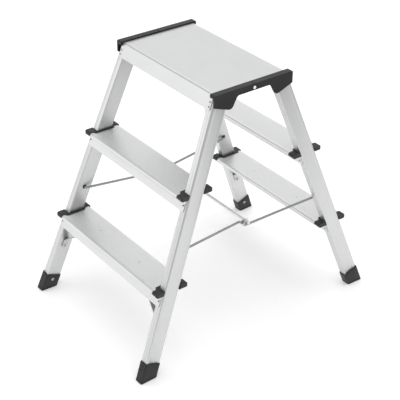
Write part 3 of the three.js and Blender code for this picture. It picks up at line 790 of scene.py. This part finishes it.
for f, sy in FRAMES:
    body = f"{f}_frame"
    for s, sx in SIDES:
        stile(f, s, sx, sy)
        foot(f, s, sx, sy)
        rivet(f"{f}_ferrule_rivet_{s}", f"{f}_foot_rivet_{s}", on_face("in", FOOT_RIVET_Z, FOOT_WALL + GAP + 0.12), -SIDE, 4.2, 1.8, sx, sy, body)
        rivet(f"{f}_strap_rivet_{s}", f"{f}_brace_rivet_{s}", on_face("in", BRACE_Z, GAP + 0.35 + BRACE_T + 0.45), -SIDE, 4.4, 1.8, sx, sy, body)
        rivet(f"{f}_strap_tread_rivet_{s}", f"{f}_brace_step_rivet_{s}", Vector((BRACE_X, axis_at(STEPS["lower"]).y, STEPS["lower"] - 0.3)), Vector((0, 0, 1)), 3.4, 1.0, sx, sy, body)
        for level, zt in STEPS.items():
            rivet(f"{f}_tread_rivet_{level}_{s}", f"{f}_step_rivet_{level}_{s}", on_face("out", zt - 26, GAP + PLATE + 0.1), OUT, 3.9, 1.5, sx, sy, body)
            rivet(f"{f}_tread_inner_rivet_{level}_{s}", None, on_face("back", zt - 26, GAP + PLATE + 0.1), -OUT, 3.9, 1.7, sx, sy, body)
        # plastic bush where the stay enters the stile
        prof = [(ROD_R + 0.15, 1.9), (ROD_R + 1.2, 1.9), (ROD_R + 2.3, 1.4), (ROD_R + 2.8, 0.2), (ROD_R + 2.8, 0.0), (ROD_R + 0.15, 0.0), (ROD_R + 0.15, 1.9)]
        ob = lathe(f"{f}_stay_bush_{s}", prof, flip(PIV - SIDE * 0.0, sx, sy), flip(-SIDE, sx, sy), [M_BLACK], n=28)
        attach(ob, body)
for s, sx in SIDES:
    for tag, z in PLAT_RIVETS:
        rivet(f"deck_rivet_{tag}_{s}", f"platform_rivet_{tag}_{s}", on_face("out", z, GAP + PLATE + 0.1), OUT, 3.4, 1.3, sx, 1, "front_frame")

# ------------------------------------------------------------------ stays
for s, sx in SIDES:
    dx = 0.0 if sx > 0 else LEFT_IN
    path = [(PIV.x + 4.6, PIV.y, ROD_Z), (ROD_X, PIV.y, ROD_Z), (176.6 - dx, -11, ROD_Z), (187 - dx, -11, ROD_Z)]
    ob = tube(f"front_stay_{s}", [flip(p, sx, 1) for p in bent(path, 4.2)], ROD_R, [M_WIRE])
    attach(ob, "stay_front")
    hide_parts(f"front_rod_{s}")
    zl, yh = BAR_Z - BAR_R - 0.8 - ROD_R, -(BAR_R + 0.8 + ROD_R)
    path = [(PIV.x + 4.6, -PIV.y, ROD_Z), (ROD_X, -PIV.y, ROD_Z), (191.5 - dx, yh, zl), (191.5 - dx, yh, BAR_Z + 3)]
    ob = tube(f"rear_stay_{s}", [flip(p, sx, 1) for p in bent(path, 4.0)], ROD_R, [M_WIRE])
    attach(ob, f"stay_rear_{s}")
    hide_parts(f"rear_rod_{s}")

bar = tube("spreader_bar", [(-BAR_X + LEFT_IN, 0, BAR_Z), (BAR_X, 0, BAR_Z)], BAR_R, [M_BAR], n=28)
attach(bar, "stay_front")
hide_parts("crossbar")
for s, sx in SIDES:
    lug = fillet([(-16.5, 303.5), (-16.5, 297), (-10, 290.5), (-1, 288), (5.5, 291), (8.5, 297), (8.5, 305), (4, 308.8), (-3, 308.8)], [1.5, 3, 4, 4, 4, 4, 3, 3, 6], 4, closed=True)
    x0, x1 = (LUG_X, LUG_X + 2.2) if sx > 0 else (-LUG_X + LEFT_IN - 2.2, -LUG_X + LEFT_IN)
    ob = extrude_x(f"spreader_lug_{s}", lug, x0, x1, [M_BAR])
    hole = lambda y, z, r: extrude_x("cut_lug", [(y + r * math.cos(a * math.pi / 12), z + r * math.sin(a * math.pi / 12)) for a in range(24)], x0 - 3, x1 + 3, [])
    cut(ob, hole(0, 294.2, 2.4), hole(-11, ROD_Z, ROD_R + 0.3))
    bv = ob.modifiers.new("round", "BEVEL")
    bv.width, bv.segments, bv.limit_method, bv.angle_limit = 0.00035, 2, "ANGLE", math.radians(50)
    bpy.context.view_layer.update()
    apply_modifiers(ob)
    smooth(ob, 30)
    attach(ob, "stay_front")

# ------------------------------------------------------------------ carried-over nodes
def keep(node, mat, width=0.0, angle=35.0, segments=3):
    ob = NODES[node]
    ob.data.materials.clear()
    ob.data.materials.append(mat)
    w = ob.modifiers.new("weld", "WELD")
    w.merge_threshold = 0.00001
    if width:
        b = ob.modifiers.new("round", "BEVEL")
        b.width = width * MM
        b.segments = segments
        b.limit_method = "ANGLE"
        b.angle_limit = math.radians(angle)
        b.use_clamp_overlap = True
        b.harden_normals = False
    sm = ob.modifiers.new("even", "WEIGHTED_NORMAL")
    sm.keep_sharp = True
    return ob


for s, sx in SIDES:
    for f, sy in FRAMES:
        keep(f"{f}_hinge_{s}", M_HINGE, 0.6)
        keep(f"{f}_brace_{s}", M_STRAP, 0.25)
        for level in STEPS:
            keep(f"{f}_clip_{level}_{s}", M_BLACK, 0.8)
    keep(f"hinge_pin_{s}", M_PIN, 0.2)

# ------------------------------------------------------------------ camera, light, floor
def camera():
    a, e, r = math.radians(52.61), math.radians(31.60), math.radians(0.51)
    back = Vector((math.sin(a) * math.cos(e), -math.cos(a) * math.cos(e), math.sin(e)))
    right = Vector((math.cos(a), math.sin(a), 0))
    up = back.cross(right)
    right2 = right * math.cos(r) + up * math.sin(r)
    up2 = up * math.cos(r) - right * math.sin(r)
    c = Vector((138.5, -109.7, 381.5)) + back * 2705.4
    cam = bpy.data.cameras.new("camera")
    cam.sensor_width = 36
    cam.lens = 1090.2 / 400 * 36
    cam.clip_start, cam.clip_end = 0.05, 100
    ob = bpy.data.objects.new("camera", cam)
    m = Matrix((right2, up2, back)).transposed().to_4x4()
    m.translation = c * MM
    ob.matrix_world = m
    bpy.context.scene.collection.objects.link(ob)
    bpy.context.scene.camera = ob


def area(name, loc, aim, size, power, size_y=None):
    d = bpy.data.lights.new(name, "AREA")
    d.energy = power
    d.size = size
    if size_y:
        d.shape = "RECTANGLE"
        d.size_y = size_y
    ob = bpy.data.objects.new(name, d)
    ob.location = loc
    ob.rotation_euler = (Vector(aim) - Vector(loc)).to_track_quat("-Z", "Y").to_euler()
    bpy.context.scene.collection.objects.link(ob)
    return ob


camera()
scene = bpy.context.scene
scene.view_settings.view_transform = "Standard"
scene.view_settings.look = "None"

world = bpy.data.worlds.new("studio")
scene.world = world
world.use_nodes = True
bg = world.node_tree.nodes["Background"]
bg.inputs["Color"].default_value = (1, 1, 1, 1)
bg.inputs["Strength"].default_value = 0.50

# ------ lights
area("key", (-2.0, -2.7, 1.35), (0, 0, 0.35), 2.4, 16, 1.8)
area("back", (-2.3, 1.9, 2.2), (0, 0, 0.35), 2.2, 13)
area("top", (0.3, 0.2, 3.6), (0, 0, 0.0), 3.0, 46)

floor_mat = Mat("floor_pale")
fn = floor_mat.noise(floor_mat.coords((1, 1, 1)), 3.0, 2.0, 0.5)
floor_mat.link(floor_mat.ramp(fn, [(0.0, 0.95), (1.0, 0.97)]), floor_mat.b.inputs["Base Color"])
floor_mat.b.inputs["Roughness"].default_value = 0.9
floor_mat.b.inputs["Specular IOR Level"].default_value = 0.1
floor_mat.b.inputs["Emission Color"].default_value = (1, 1, 1, 1)
floor_mat.b.inputs["Emission Strength"].default_value = 0.30
fm = bpy.data.meshes.new("floor")
S = 14.0
fm.from_pydata([(-S, -S, 0), (S, -S, 0), (S, S, 0), (-S, S, 0)], [], [(0, 1, 2, 3)])
fm.materials.append(floor_mat.m)
floor = bpy.data.objects.new("floor", fm)
floor.location.z = -0.0005
scene.collection.objects.link(floor)
